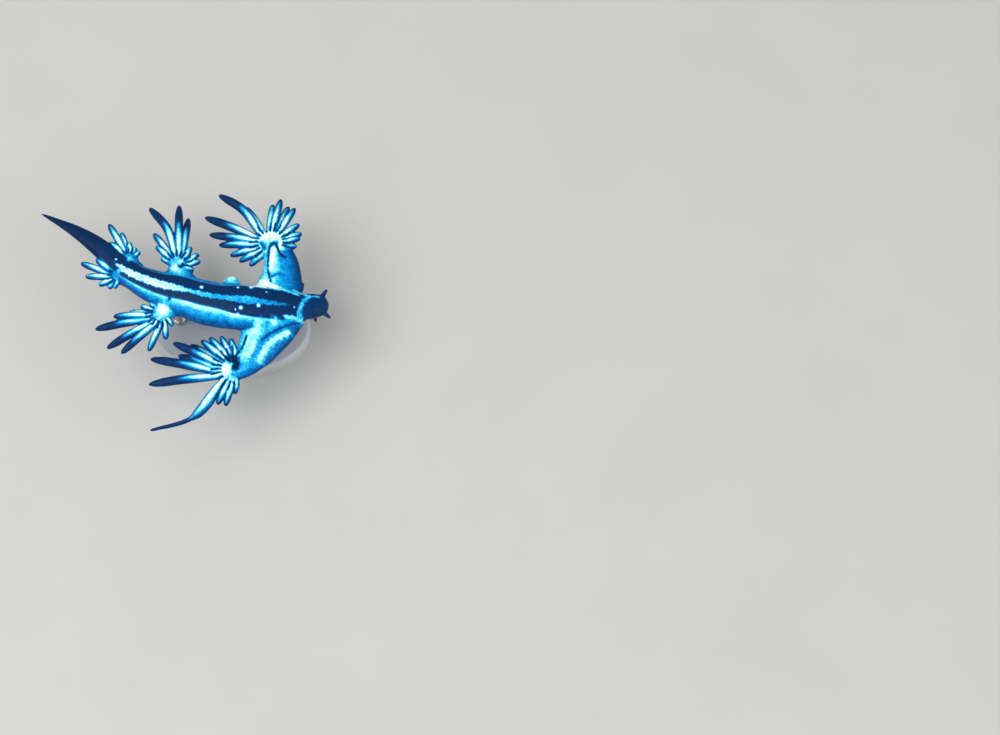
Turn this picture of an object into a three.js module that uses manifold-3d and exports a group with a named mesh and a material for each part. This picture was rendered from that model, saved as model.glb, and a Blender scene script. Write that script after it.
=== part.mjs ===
// Blue dragon sea slug, life size, floating belly up as the living animal does, on a small display stand.
// Millimetres, +Z up. The head points along +X and the foot, which is the belly, faces up.
// The animal's back faces down, so its right side is at +Y and its left side at -Y.
// The origin is the middle of the stand's underside.
import * as THREE from "three";
import { mergeVertices } from "three/addons/utils/BufferGeometryUtils.js";
import Module from "manifold-3d";

const wasm = await Module();
wasm.setup();

// Driving dimensions
const FLOAT_HEIGHT = 11; // the body's axis above the table
const GAP = 0.3; // between pieces that touch
const WELD = 1e-4; // vertices closer than this are one
const CUT_SIZE = 12; // the plates that part a limb are wider than any limb
const END_CROWDING = 0.7; // how much closer together the rings stand at a limb's ends
const SPINE_STEPS = 800; // the centreline's length is measured in this many steps
const TRUNK_SIDES = 20;
const TRUNK_RINGS = 40;
const ARM_SIDES = 14;
const ARM_RINGS = 12;
const CERAS_SIDES = 6;
const CERAS_RINGS = 8;
const FEELER_SIDES = 8;
const FEELER_RINGS = 8;
const FOOT_SIDES = 12;
const FOOT_RINGS = 22;
const PAPILLA_SIDES = 10;
const PAPILLA_RINGS = 8;
const LIP_SIDES = 8;
const LIP_RINGS = 14;

// The body's centreline from the snout to the tip of the tail. Heights are measured from FLOAT_HEIGHT.
const SPINE = [
  [13.5, -0.3, -0.25], [12.1, -0.45, -0.15], [10.3, -0.7, 0], [8.7, -0.9, 0], [5.9, -0.95, 0.05],
  [2, -0.8, 0.05], [-1.9, -0.25, 0], [-5.9, 1.05, 0], [-9.9, 2.45, 0], [-13.8, 4.9, 0],
  [-16.7, 7.75, -0.05], [-19.7, 10, -0.2], [-22.4, 11.65, -0.5], [-25.1, 13.2, -0.9],
];
// Half the body's width and height, each against the distance from the snout.
const HALF_WIDTH = [
  [0, 0], [0.25, 0.85], [0.9, 1.35], [2.1, 1.65], [3.3, 1.75], [4.8, 2.35], [7.5, 2.9], [11.4, 3],
  [15.4, 3], [19.5, 2.65], [23.9, 2.15], [28.6, 1.42], [32.6, 1.24], [36, 0.88], [39.4, 0.44], [41.4, 0.19],
  [42.35, 0],
];
const HALF_HEIGHT = [
  [0, 0], [0.25, 0.75], [0.9, 1.15], [2.1, 1.45], [3.3, 1.55], [4.8, 1.95], [7.5, 2.3], [11.4, 2.4],
  [15.4, 2.2], [19.5, 1.85], [23.9, 1.4], [28.6, 1.05], [32.6, 1], [36, 0.68], [39.4, 0.36], [41.4, 0.17],
  [42.35, 0],
];
const BELLY_FLATNESS = 0.16;

// The foot is a low sole along the belly, with its front edge behind the head.
const FOOT = {
  start: 3.45,
  end: 33,
  halfWidth: [
    [0, 0], [0.12, 0.95], [0.6, 1.35], [3, 1.85], [6.5, 2], [8.5, 1.9], [11, 1.56], [14, 1.47], [17, 1.42],
    [20, 1.25], [23, 1.1], [26, 1.02], [28.4, 0.8], [29.55, 0],
  ],
  toTheRight: [
    [0, -0.3], [2.5, -0.2], [6, 0.25], [11, 0.48], [14, 0.45], [17, 0.28], [20, 0.24], [24, 0.12],
    [29.55, 0.1],
  ],
  halfDepth: 0.4,
  sunk: 0.22,
  places: 14, // points along its curve
};

// Where the body is parted into named lengths: distances from the snout.
const NECK_AT = 3.1;
const WAIST_AT = 16.6;
const TAIL_AT = 31.4;
const TAIL_TIP_AT = 36.4;

// Each arm runs from inside the body to the middle of its pad and just past it.
// Its cerata stand in one row round the pad's rim, from the bearing rowFrom to rowTo.
// Each of the cerata is [bearing of its tip, reach from the pad's middle, sideways bow as a share of reach].
// Bearings are degrees from +X.
const ARMS = [
  {
    arm: "arm_right_front",
    row: "cerata_right_front",
    path: [
      [7.8, 0.2, -0.2], [7.15, 2.4, -0.2], [7.25, 4.1, 0], [7, 5.9, 0.15], [6.3, 7.3, 0.3], [5.75, 8.14, 0.3],
      [5.3, 9.1, 0.3],
    ],
    halfWidth: [
      [0, 0], [0.08, 2.7], [0.23, 3.15], [0.33, 2.8], [0.43, 2.5], [0.52, 2.35], [0.65, 2.05], [0.8, 1.6],
      [0.93, 1.25], [1, 0],
    ],
    halfDepth: [[0, 0], [0.08, 1.5], [0.3, 1.5], [0.6, 1.05], [0.85, 0.8], [0.95, 0.6], [1, 0]],
    partedAt: 0.64,
    pad: [5.75, 8.14, 0.3],
    rim: 1.45,
    rowFrom: -28,
    rowTo: 238,
    face: 110,
    tilt: -7,
    cerata: [
      [-21, 3], [-6, 3.5], [8, 4], [23, 4.4], [38, 4.7], [60, 6.1], [71, 6.4], [80, 6.6], [90, 6.2],
      [122, 6.9], [135, 10.1, -0.07], [152, 10.3], [171, 8.3], [181, 6.9], [195, 5.6], [216, 5], [229, 4.2],
    ],
  },
  {
    arm: "arm_left_front",
    row: "cerata_left_front",
    path: [
      [8, -0.6, -0.3], [6.5, -3, -0.4], [5, -5.2, -0.6], [3.75, -7.2, -0.8],
      [2.6, -8.6, -0.9], [1.55, -9.14, -0.9], [0.55, -9, -0.9],
    ],
    halfWidth: [
      [0, 0], [0.08, 3.1], [0.25, 3.2], [0.45, 2.95], [0.6, 2.6], [0.7, 2.15], [0.82, 1.65], [0.95, 1.15],
      [1, 0],
    ],
    halfDepth: [[0, 0], [0.08, 1.5], [0.3, 1.5], [0.6, 1.15], [0.85, 0.8], [0.95, 0.6], [1, 0]],
    partedAt: 0.68,
    pad: [1.55, -9.14, -0.9],
    rim: 1.6,
    rowFrom: 84,
    rowTo: 282,
    face: 190,
    tilt: -8,
    cerata: [
      [100, 4.3], [113, 5.4], [127, 5.9], [138, 6.2], [146, 7.4], [155, 9.1], [162, 8],
      [168, 11.6], [190, 11.3], [213, 13.3, 0.15], [246, 5.3], [258, 5.2], [270, 3.3],
    ],
  },
  {
    arm: "arm_right_middle",
    path: [[-5.2, 1.2, -0.1], [-5.7, 2.9, 0], [-6.1, 4.2, 0.1], [-6.35, 5.1, 0.2], [-6.5, 6, 0.2]],
    halfWidth: [[0, 0], [0.1, 1.7], [0.4, 1.6], [0.65, 1.35], [0.85, 1.15], [0.95, 0.8], [1, 0]],
    halfDepth: [[0, 0], [0.1, 1.1], [0.4, 1], [0.65, 0.8], [0.9, 0.6], [1, 0]],
    pad: [-6.35, 5.1, 0.2],
    rim: 1,
    rowFrom: -24,
    rowTo: 162,
    face: 95,
    tilt: -8,
    cerata: [
      [-20, 2.4], [12, 3.1], [35, 3.3], [58, 3.2], [83, 7.7], [92, 9.2],
      [116, 9.6, -0.08], [124, 6.4], [137, 4.1], [152, 2.6],
    ],
  },
  {
    arm: "arm_left_middle",
    path: [[-6.7, 1.4, -0.1], [-7.2, 0, -0.1], [-7.7, -1, -0.1], [-8.1, -1.6, -0.1], [-8.5, -2.4, -0.1]],
    halfWidth: [[0, 0], [0.1, 1.7], [0.4, 1.65], [0.65, 1.4], [0.85, 1.15], [0.95, 0.8], [1, 0]],
    halfDepth: [[0, 0], [0.1, 1.1], [0.4, 1], [0.65, 0.8], [0.9, 0.6], [1, 0]],
    pad: [-8.1, -1.6, -0.1],
    rim: 1.1,
    rowFrom: 142,
    rowTo: 312,
    face: 220,
    tilt: -7,
    cerata: [
      [140, 2.2], [160, 3.1], [174, 4.6], [184, 6.4], [191, 9], [211, 8.4],
      [228, 7.6], [251, 5.2], [280, 3.8], [309, 2.4],
    ],
  },
  {
    arm: "cerata_right_rear",
    path: [[-12.3, 4.6, 0], [-12.6, 5.5, 0.05], [-12.8, 6.2, 0.1], [-12.95, 6.8, 0.1]],
    halfWidth: [[0, 0], [0.15, 1.15], [0.5, 1.1], [0.8, 0.85], [0.95, 0.5], [1, 0]],
    halfDepth: [[0, 0], [0.15, 0.75], [0.5, 0.7], [0.8, 0.55], [1, 0]],
    pad: [-12.75, 6.1, 0.1],
    rim: 0.65,
    rowFrom: 30,
    rowTo: 145,
    face: 110,
    tilt: -5,
    cerata: [[38, 1.8], [68, 1.9], [92, 2.4], [108, 4.4], [120, 6], [138, 3.6]],
  },
  {
    arm: "cerata_left_rear",
    path: [[-13.3, 4.8, 0], [-13.8, 4.1, -0.05], [-14.15, 3.5, -0.1], [-14.5, 2.95, -0.1]],
    halfWidth: [[0, 0], [0.15, 1.15], [0.5, 1.1], [0.8, 0.85], [0.95, 0.5], [1, 0]],
    halfDepth: [[0, 0], [0.15, 0.75], [0.5, 0.7], [0.8, 0.55], [1, 0]],
    pad: [-14.1, 3.6, -0.1],
    rim: 0.7,
    rowFrom: 140,
    rowTo: 266,
    face: 190,
    tilt: -6,
    cerata: [[141, 3.9], [155, 5.7], [177, 4.4], [206, 2.8], [230, 2], [257, 1.8]],
  },
];
// One of the cerata is a spindle: thickness grows with its reach, and this is its share along the length.
const CERAS_THICKNESS = 0.7;
const CERAS_THICKNESS_PER_REACH = 0.05;
const CERAS_MOST_THICKNESS = 1.24;
const CERAS_PROFILE = [
  [0, 0], [0.04, 0.66], [0.2, 0.78], [0.5, 1], [0.78, 0.94], [0.91, 0.7], [0.975, 0.4], [1, 0],
];
// The longest of them end in a thin whip.
const WHIP_REACH = 12;
const WHIP_THICKNESS = 1.55;
const WHIP_PROFILE = [
  [0, 0], [0.04, 0.55], [0.18, 0.8], [0.34, 1], [0.47, 0.84], [0.58, 0.42], [0.8, 0.35], [0.96, 0.26], [1, 0],
];
// It starts inside the pad, leaves the rim a little towards its tip's bearing, and arches over its length.
const ROOT_SINK = 0.55; // share of the rim's radius
const RIM_REACH = 1.3; // share of the rim's radius
const RIM_TURN = 0.4; // share of the way from the root's bearing to the tip's
const CERAS_ARCH = 0.03; // share of the reach
// Neighbours lie a little above and below each other.
const CERAS_WAVE_DEGREES = 7;
const CERAS_WAVE_STEP = 2.4;
const RIM_LIFT_PER_DEGREE = 0.02;

// The head's feelers: the pair at the mouth's sides, and the pair on the back of the head, which faces down.
const FEELERS = [
  { name: "oral_tentacle", along: 1.3, out: 1.15, up: 0.15, reach: [1.35, 0.95, 0.25], thick: 0.62 },
  { name: "rhinophore", along: 2.2, out: 0.85, up: -1, reach: [0.5, 0.55, -1.15], thick: 0.6 },
];
const FEELER_PROFILE = [[0, 0], [0.05, 1], [0.5, 0.95], [0.8, 0.7], [0.95, 0.4], [1, 0]];
const MOUTH = { along: 0.5, up: 0.35, halfWidth: 0.42, halfHeight: 0.22, depth: 0.55, lip: 0.2 };
// A short blunt papilla stands on the right flank.
const PAPILLA = { path: [[0.85, 1.7, 0], [0.75, 3.6, 0.1]], halfWidth: 1.15, halfDepth: 0.8 };
const PAPILLA_PROFILE = [[0, 0], [0.1, 1], [0.55, 0.95], [0.8, 0.76], [0.94, 0.45], [1, 0]];

// Display stand
const BASE = { length: 21, width: 13, thickness: 2.4, chamfer: 0.35, sides: 48 };
const ROD_RADIUS = 0.7;
const ROD_SIDES = 16;
const RODS = [
  { name: "stand_rod_front", along: 8.6 },
  { name: "stand_rod_rear", along: 20.4 },
];

const skin = new THREE.MeshStandardMaterial({ color: 0x2f9fe0, roughness: 0.32, metalness: 0.15 });
const darkSkin = new THREE.MeshStandardMaterial({ color: 0x0e1b3a, roughness: 0.3, metalness: 0.1 });
const cerataSkin = new THREE.MeshStandardMaterial({ color: 0x56d2f5, roughness: 0.3, metalness: 0.15 });
const baseFinish = new THREE.MeshStandardMaterial({ color: 0xd8dbdd, roughness: 0.5, metalness: 0 });
const steel = new THREE.MeshStandardMaterial({ color: 0xb9bcc0, roughness: 0.35, metalness: 1 });

// Curves and solids
const up = new THREE.Vector3(0, 0, 1);
const radians = THREE.MathUtils.degToRad;

function pointAt([x, y, z]) {
  return new THREE.Vector3(x, y, FLOAT_HEIGHT + z);
}

function curveThrough(points) {
  return new THREE.CatmullRomCurve3(points.map(pointAt), false, "centripetal");
}

// A smooth value between stops [place, value], with the slope at each stop set by its neighbours.
function smoothValue(stops, place) {
  const last = stops.length - 1;
  if (place <= stops[0][0]) return stops[0][1];
  if (place >= stops[last][0]) return stops[last][1];
  const i = stops.findIndex((stop) => stop[0] > place) - 1;
  const rise = (k) => (stops[k + 1][1] - stops[k][1]) / (stops[k + 1][0] - stops[k][0]);
  const slope = (k) => {
    if (k === 0) return rise(0);
    if (k === last) return rise(last - 1);
    const before = rise(k - 1);
    const after = rise(k);
    return before * after <= 0 ? 0 : (2 * before * after) / (before + after);
  };
  const span = stops[i + 1][0] - stops[i][0];
  const s = (place - stops[i][0]) / span;
  const start = stops[i][1] * (1 + 2 * s) * (1 - s) ** 2 + stops[i + 1][1] * s * s * (3 - 2 * s);
  return start + span * (slope(i) * s * (1 - s) ** 2 - slope(i + 1) * s * s * (1 - s));
}

function solidOf(geometry) {
  const plain = geometry.clone();
  plain.deleteAttribute("normal");
  plain.deleteAttribute("uv");
  const merged = mergeVertices(plain, WELD);
  const mesh = new wasm.Mesh({
    numProp: 3,
    vertProperties: merged.getAttribute("position").array,
    triVerts: new Uint32Array(merged.index.array),
  });
  return new wasm.Manifold(mesh);
}

// A closed limb: a sphere's rings are carried along the curve, from pole to pole.
// halfWidth and halfDepth take the distance along the curve as a share of its length.
function limb({ curve, halfWidth, halfDepth, sides, rings, flatness = 0, spacing = (share) => share }) {
  const geometry = new THREE.SphereGeometry(1, sides, rings);
  const position = geometry.getAttribute("position");
  const place = new THREE.Vector3();
  for (let i = 0; i < position.count; i++) {
    place.fromBufferAttribute(position, i);
    const share = spacing(Math.acos(THREE.MathUtils.clamp(place.y, -1, 1)) / Math.PI);
    const ring = Math.hypot(place.x, place.z);
    const across = ring > 1e-6 ? place.x / ring : 0;
    const lift = ring > 1e-6 ? place.z / ring : 0;
    const { centre, side, rise } = frameAt(curve, share);
    const flattened = lift > 0 ? lift * (1 - flatness * lift * lift) : lift;
    centre.addScaledVector(side, across * halfWidth(share));
    centre.addScaledVector(rise, flattened * halfDepth(share));
    position.setXYZ(i, centre.x, centre.y, centre.z);
  }
  return solidOf(geometry);
}

function frameAt(curve, share) {
  const centre = curve.getPointAt(share);
  const along = curve.getTangentAt(share);
  const side = new THREE.Vector3().crossVectors(up, along).normalize();
  const rise = new THREE.Vector3().crossVectors(along, side);
  return { centre, along, side, rise };
}

// Rings stand closer together at both ends, so that the ends are round.
function crowdedEnds(share) {
  return share - (END_CROWDING * Math.sin(2 * Math.PI * share)) / (2 * Math.PI);
}

// A thin plate across the curve at a distance along it, which parts a limb in two.
function slab(curve, share) {
  const { centre, along, side, rise } = frameAt(curve, share);
  const geometry = new THREE.BoxGeometry(CUT_SIZE, CUT_SIZE, GAP);
  geometry.applyMatrix4(new THREE.Matrix4().makeBasis(side, rise, along));
  geometry.translate(centre.x, centre.y, centre.z);
  return solidOf(geometry);
}

function largest(solid) {
  const bodies = solid.decompose();
  return bodies.reduce((best, body) => (body.volume() > best.volume() ? body : best));
}

function fuse(solids) {
  return largest(wasm.Manifold.union(solids));
}

// The two sides of a cut, the one nearer to the curve's start first.
function part(solid, curve, share) {
  const { centre, along } = frameAt(curve, share);
  const bodies = solid.subtract(slab(curve, share)).decompose();
  const before = [];
  const after = [];
  for (const body of bodies) {
    const box = body.boundingBox();
    const middle = new THREE.Vector3(...box.min).add(new THREE.Vector3(...box.max)).multiplyScalar(0.5);
    (middle.sub(centre).dot(along) < 0 ? before : after).push(body);
  }
  return [fuse(before), fuse(after)];
}

// Trunk
const spine = curveThrough(SPINE);
spine.arcLengthDivisions = SPINE_STEPS;
const bodyLength = spine.getLength();
const profileLength = HALF_WIDTH.at(-1)[0];

function trunk(grown) {
  return limb({
    curve: spine,
    halfWidth: (share) => smoothValue(HALF_WIDTH, share * profileLength) + grown,
    halfDepth: (share) => smoothValue(HALF_HEIGHT, share * profileLength) + grown,
    sides: TRUNK_SIDES,
    rings: TRUNK_RINGS,
    flatness: BELLY_FLATNESS,
    spacing: crowdedEnds,
  });
}

function foot(grown) {
  const length = FOOT.end - FOOT.start;
  const points = [];
  for (let i = 0; i <= FOOT.places; i++) {
    const distance = FOOT.start + (length * i) / FOOT.places;
    const { centre, side } = frameAt(spine, distance / profileLength);
    const belly = smoothValue(HALF_HEIGHT, distance) * (1 - BELLY_FLATNESS) - FOOT.sunk;
    centre.addScaledVector(side, -smoothValue(FOOT.toTheRight, distance - FOOT.start));
    points.push([centre.x, centre.y, centre.z - FLOAT_HEIGHT + belly]);
  }
  return limb({
    curve: curveThrough(points),
    halfWidth: (share) => smoothValue(FOOT.halfWidth, share * length) + grown,
    halfDepth: (share) => FOOT.halfDepth * Math.min(1, smoothValue(FOOT.halfWidth, share * length)) + grown,
    sides: FOOT_SIDES,
    rings: FOOT_RINGS,
    spacing: crowdedEnds,
  });
}

function papilla() {
  return limb({
    curve: curveThrough(PAPILLA.path),
    halfWidth: (share) => PAPILLA.halfWidth * smoothValue(PAPILLA_PROFILE, share),
    halfDepth: (share) => PAPILLA.halfDepth * smoothValue(PAPILLA_PROFILE, share),
    sides: PAPILLA_SIDES,
    rings: PAPILLA_RINGS,
  });
}

// Head: lips round a small mouth at the front, towards the belly side.
function lips() {
  const { centre, along, side, rise } = frameAt(spine, MOUTH.along / profileLength);
  const ring = new THREE.TorusGeometry(1, MOUTH.lip / MOUTH.halfWidth, LIP_SIDES, LIP_RINGS);
  ring.scale(MOUTH.halfWidth + MOUTH.lip, MOUTH.halfHeight + MOUTH.lip, MOUTH.halfWidth);
  const hole = new THREE.SphereGeometry(1, LIP_RINGS, LIP_SIDES);
  hole.scale(MOUTH.halfWidth, MOUTH.halfHeight, MOUTH.depth);
  const turned = new THREE.Matrix4().makeBasis(side, rise, along);
  return [ring, hole].map((geometry) => {
    geometry.translate(0, MOUTH.up, 0);
    geometry.applyMatrix4(turned);
    geometry.translate(centre.x, centre.y, centre.z);
    return solidOf(geometry);
  });
}

function feeler({ along, out, up: height, reach, thick }, hand) {
  const { centre, along: forward, side, rise } = frameAt(spine, along / profileLength);
  const place = (o, h, f) =>
    centre.clone().addScaledVector(side, hand * o).addScaledVector(rise, h).addScaledVector(forward, -f);
  const root = place(out * 0.5, height * 0.5, 0);
  const tip = place(out + reach[1], height + reach[2], reach[0]);
  const half = (share) => 0.5 * thick * smoothValue(FEELER_PROFILE, share);
  return limb({
    curve: new THREE.LineCurve3(root, tip),
    halfWidth: half,
    halfDepth: half,
    sides: FEELER_SIDES,
    rings: FEELER_RINGS,
  });
}

// Arms and cerata
function armLimb(arm, grown = 0) {
  return limb({
    curve: curveThrough(arm.path),
    halfWidth: (share) => smoothValue(arm.halfWidth, share) + grown,
    halfDepth: (share) => smoothValue(arm.halfDepth, share) + grown,
    sides: ARM_SIDES,
    rings: ARM_RINGS,
    spacing: crowdedEnds,
  });
}

function ceras(arm, index) {
  const [bearing, reach, bow = 0] = arm.cerata[index];
  const rootBearing = arm.rowFrom + ((arm.rowTo - arm.rowFrom) * index) / (arm.cerata.length - 1);
  const wave = CERAS_WAVE_DEGREES * Math.sin(CERAS_WAVE_STEP * index + arm.face);
  const tilt = arm.tilt * Math.cos(radians(bearing - arm.face)) + wave;
  const [x, y, z] = arm.pad;
  const ray = (degrees, far, height) => [
    x + far * Math.cos(radians(degrees)),
    y + far * Math.sin(radians(degrees)),
    z + height,
  ];
  const root = ray(rootBearing, ROOT_SINK * arm.rim, 0);
  const rimBearing = rootBearing + RIM_TURN * (bearing - rootBearing);
  const rim = ray(rimBearing, RIM_REACH * arm.rim, RIM_LIFT_PER_DEGREE * wave);
  const tip = ray(bearing, reach, reach * Math.sin(radians(tilt)));
  const middle = rim.map((value, k) => (value + tip[k]) / 2);
  middle[0] -= bow * reach * Math.sin(radians(bearing));
  middle[1] += bow * reach * Math.cos(radians(bearing));
  middle[2] += CERAS_ARCH * reach;
  const spindle = Math.min(CERAS_THICKNESS + CERAS_THICKNESS_PER_REACH * reach, CERAS_MOST_THICKNESS);
  const [thick, profile] = reach > WHIP_REACH ? [WHIP_THICKNESS, WHIP_PROFILE] : [spindle, CERAS_PROFILE];
  const half = (share) => 0.5 * thick * smoothValue(profile, share);
  return limb({
    curve: curveThrough([root, rim, middle, tip]),
    halfWidth: half,
    halfDepth: half,
    sides: CERAS_SIDES,
    rings: CERAS_RINGS,
  });
}

// Group
const seaSlug = new THREE.Group();

function add(name, solid, material) {
  const made = solid.getMesh();
  const geometry = new THREE.BufferGeometry();
  geometry.setAttribute("position", new THREE.BufferAttribute(made.vertProperties, 3));
  geometry.setIndex(new THREE.BufferAttribute(made.triVerts, 1));
  geometry.computeVertexNormals();
  const mesh = new THREE.Mesh(geometry, material);
  mesh.name = name;
  seaSlug.add(mesh);
}

const trunkGrown = fuse([trunk(GAP), foot(GAP)]);
const whole = fuse([trunk(0), foot(0), papilla()]);
const [head, behindNeck] = part(whole, spine, NECK_AT / profileLength);
const [torsoFront, behindWaist] = part(behindNeck, spine, WAIST_AT / profileLength);
const [torsoRear, tail] = part(behindWaist, spine, TAIL_AT / profileLength);
const [tailBase, tailTip] = part(tail, spine, TAIL_TIP_AT / profileLength);

const [lipRing, mouthHole] = lips();
add("head", largest(fuse([head, lipRing]).subtract(mouthHole)), darkSkin);
add("torso_front", torsoFront, skin);
add("torso_rear", torsoRear, skin);
add("tail_base", tailBase, darkSkin);
add("tail_tip", tailTip, darkSkin);

for (const shape of FEELERS) {
  for (const [name, hand] of [["right", -1], ["left", 1]]) {
    add(`${shape.name}_${name}`, largest(feeler(shape, hand).subtract(trunkGrown)), darkSkin);
  }
}

for (const arm of ARMS) {
  const rays = arm.cerata.map((_, index) => ceras(arm, index));
  if (arm.row) {
    const curve = curveThrough(arm.path);
    const [stalk, pad] = part(armLimb(arm), curve, arm.partedAt);
    const stalkGrown = armLimb(arm, GAP);
    const [nearGrown] = part(stalkGrown, curve, arm.partedAt);
    add(arm.arm, largest(stalk.subtract(trunkGrown)), skin);
    add(arm.row, largest(fuse([pad, ...rays]).subtract(nearGrown).subtract(trunkGrown)), cerataSkin);
  } else {
    add(arm.arm, largest(fuse([armLimb(arm), ...rays]).subtract(trunkGrown)), cerataSkin);
  }
}

// Display stand: an oval base and two rods whose tops follow the animal's back.
function standBase() {
  const outline = new THREE.Shape();
  const { length, width, thickness, chamfer, sides } = BASE;
  outline.absellipse(0, 0, length / 2 - chamfer, width / 2 - chamfer, 0, 2 * Math.PI);
  return solidOf(
    new THREE.ExtrudeGeometry(outline, {
      depth: thickness - 2 * chamfer,
      curveSegments: sides,
      bevelThickness: chamfer,
      bevelSize: chamfer,
      bevelSegments: 1,
    }).translate(0, 0, chamfer),
  );
}

add("stand_base", standBase(), baseFinish);
for (const rod of RODS) {
  const { centre } = frameAt(spine, rod.along / profileLength);
  const bottom = BASE.thickness + GAP;
  const shaft = new THREE.CylinderGeometry(ROD_RADIUS, ROD_RADIUS, FLOAT_HEIGHT - bottom, ROD_SIDES);
  shaft.rotateX(Math.PI / 2);
  shaft.translate(centre.x, centre.y, (FLOAT_HEIGHT + bottom) / 2);
  add(rod.name, largest(solidOf(shaft).subtract(trunkGrown)), steel);
}

export default seaSlug;
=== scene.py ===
"""Blue dragon sea slug, life size, floating belly up on a small display stand.

The body is one skin, worked out as a smooth field around the animal's limbs and turned into a mesh.
Lengths are millimetres until a mesh is made, and metres in the scene. +Z is up, the head points along +X,
and the foot, which is the belly, faces up, so the right side is at +Y.
"""
import math

import bpy
import numpy as np
import openvdb
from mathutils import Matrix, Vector


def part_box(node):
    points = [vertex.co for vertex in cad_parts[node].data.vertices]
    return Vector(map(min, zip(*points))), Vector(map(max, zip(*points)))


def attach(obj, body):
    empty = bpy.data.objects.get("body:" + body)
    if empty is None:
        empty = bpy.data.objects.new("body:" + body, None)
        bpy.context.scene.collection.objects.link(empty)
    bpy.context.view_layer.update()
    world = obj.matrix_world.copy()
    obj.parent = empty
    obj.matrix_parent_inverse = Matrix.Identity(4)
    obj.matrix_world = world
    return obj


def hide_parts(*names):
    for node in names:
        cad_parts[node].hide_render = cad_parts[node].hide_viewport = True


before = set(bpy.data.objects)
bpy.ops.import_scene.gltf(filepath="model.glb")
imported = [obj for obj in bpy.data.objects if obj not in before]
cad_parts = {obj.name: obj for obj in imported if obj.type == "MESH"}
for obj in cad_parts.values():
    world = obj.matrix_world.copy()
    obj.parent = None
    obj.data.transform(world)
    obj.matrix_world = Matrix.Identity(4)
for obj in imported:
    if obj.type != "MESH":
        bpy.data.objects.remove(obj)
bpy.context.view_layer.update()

MM = 0.001
UP = np.array([0.0, 0.0, 1.0])

# Driving dimensions of the body, the same as the frame's
FLOAT_HEIGHT = 11.0
SPINE = [
    [13.5, -0.3, -0.25], [12.1, -0.45, -0.15], [10.3, -0.7, 0], [8.7, -0.9, 0], [5.9, -0.95, 0.05],
    [2, -0.8, 0.05], [-1.9, -0.25, 0], [-5.9, 1.05, 0], [-9.9, 2.45, 0], [-13.8, 4.9, 0],
    [-16.7, 7.75, -0.05], [-19.7, 10, -0.2], [-22.4, 11.65, -0.5], [-25.1, 13.2, -0.9],
]
HALF_WIDTH = [
    [0, 0], [0.25, 0.85], [0.9, 1.35], [2.1, 1.65], [3.3, 1.75], [4.8, 2.35], [7.5, 2.9], [11.4, 3],
    [15.4, 3], [19.5, 2.65], [23.9, 2.15], [28.6, 1.42], [32.6, 1.24], [36, 0.88], [39.4, 0.44], [41.4, 0.19],
    [42.35, 0],
]
HALF_HEIGHT = [
    [0, 0], [0.25, 0.75], [0.9, 1.15], [2.1, 1.45], [3.3, 1.55], [4.8, 1.95], [7.5, 2.3], [11.4, 2.4],
    [15.4, 2.2], [19.5, 1.85], [23.9, 1.4], [28.6, 1.05], [32.6, 1], [36, 0.68], [39.4, 0.36], [41.4, 0.17],
    [42.35, 0],
]
BELLY_FLATNESS = 0.16
FOOT = {
    "start": 3.45,
    "end": 33,
    "half_width": [
        [0, 0], [0.12, 0.95], [0.6, 1.35], [3, 1.85], [6.5, 2], [8.5, 1.9], [11, 1.56], [14, 1.47],
        [17, 1.42], [20, 1.25], [23, 1.1], [26, 1.02], [28.4, 0.8], [29.55, 0],
    ],
    "to_the_right": [
        [0, -0.3], [2.5, -0.2], [6, 0.25], [11, 0.48], [14, 0.45], [17, 0.28], [20, 0.24], [24, 0.12],
        [29.55, 0.1],
    ],
    "half_depth": 0.4,
    "sunk": 0.22,
}
FOOT_PLACES = 14
PAPILLA = {"path": [[0.85, 1.7, 0], [0.75, 3.6, 0.1]], "half_width": 1.15, "half_depth": 0.8}
PAPILLA_PROFILE = [[0, 0], [0.1, 1], [0.55, 0.95], [0.8, 0.76], [0.94, 0.45], [1, 0]]
FEELER_PROFILE = [[0, 0], [0.05, 1], [0.5, 0.95], [0.8, 0.7], [0.95, 0.4], [1, 0]]
MOUTH = {
    "along": 0.5, "up": 0.35, "half_width": 0.42, "half_height": 0.22, "depth": 0.55, "lip": 0.2,
    "softness": 0.06, "reach": 1.2,
}
FEELERS = {
    "oral_tentacle": {"along": 1.3, "out": 1.15, "up": 0.15, "reach": [1.35, 0.95, 0.25], "thick": 0.62},
    "rhinophore": {"along": 2.2, "out": 0.85, "up": -1, "reach": [0.5, 0.55, -1.15], "thick": 0.6},
}

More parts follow.
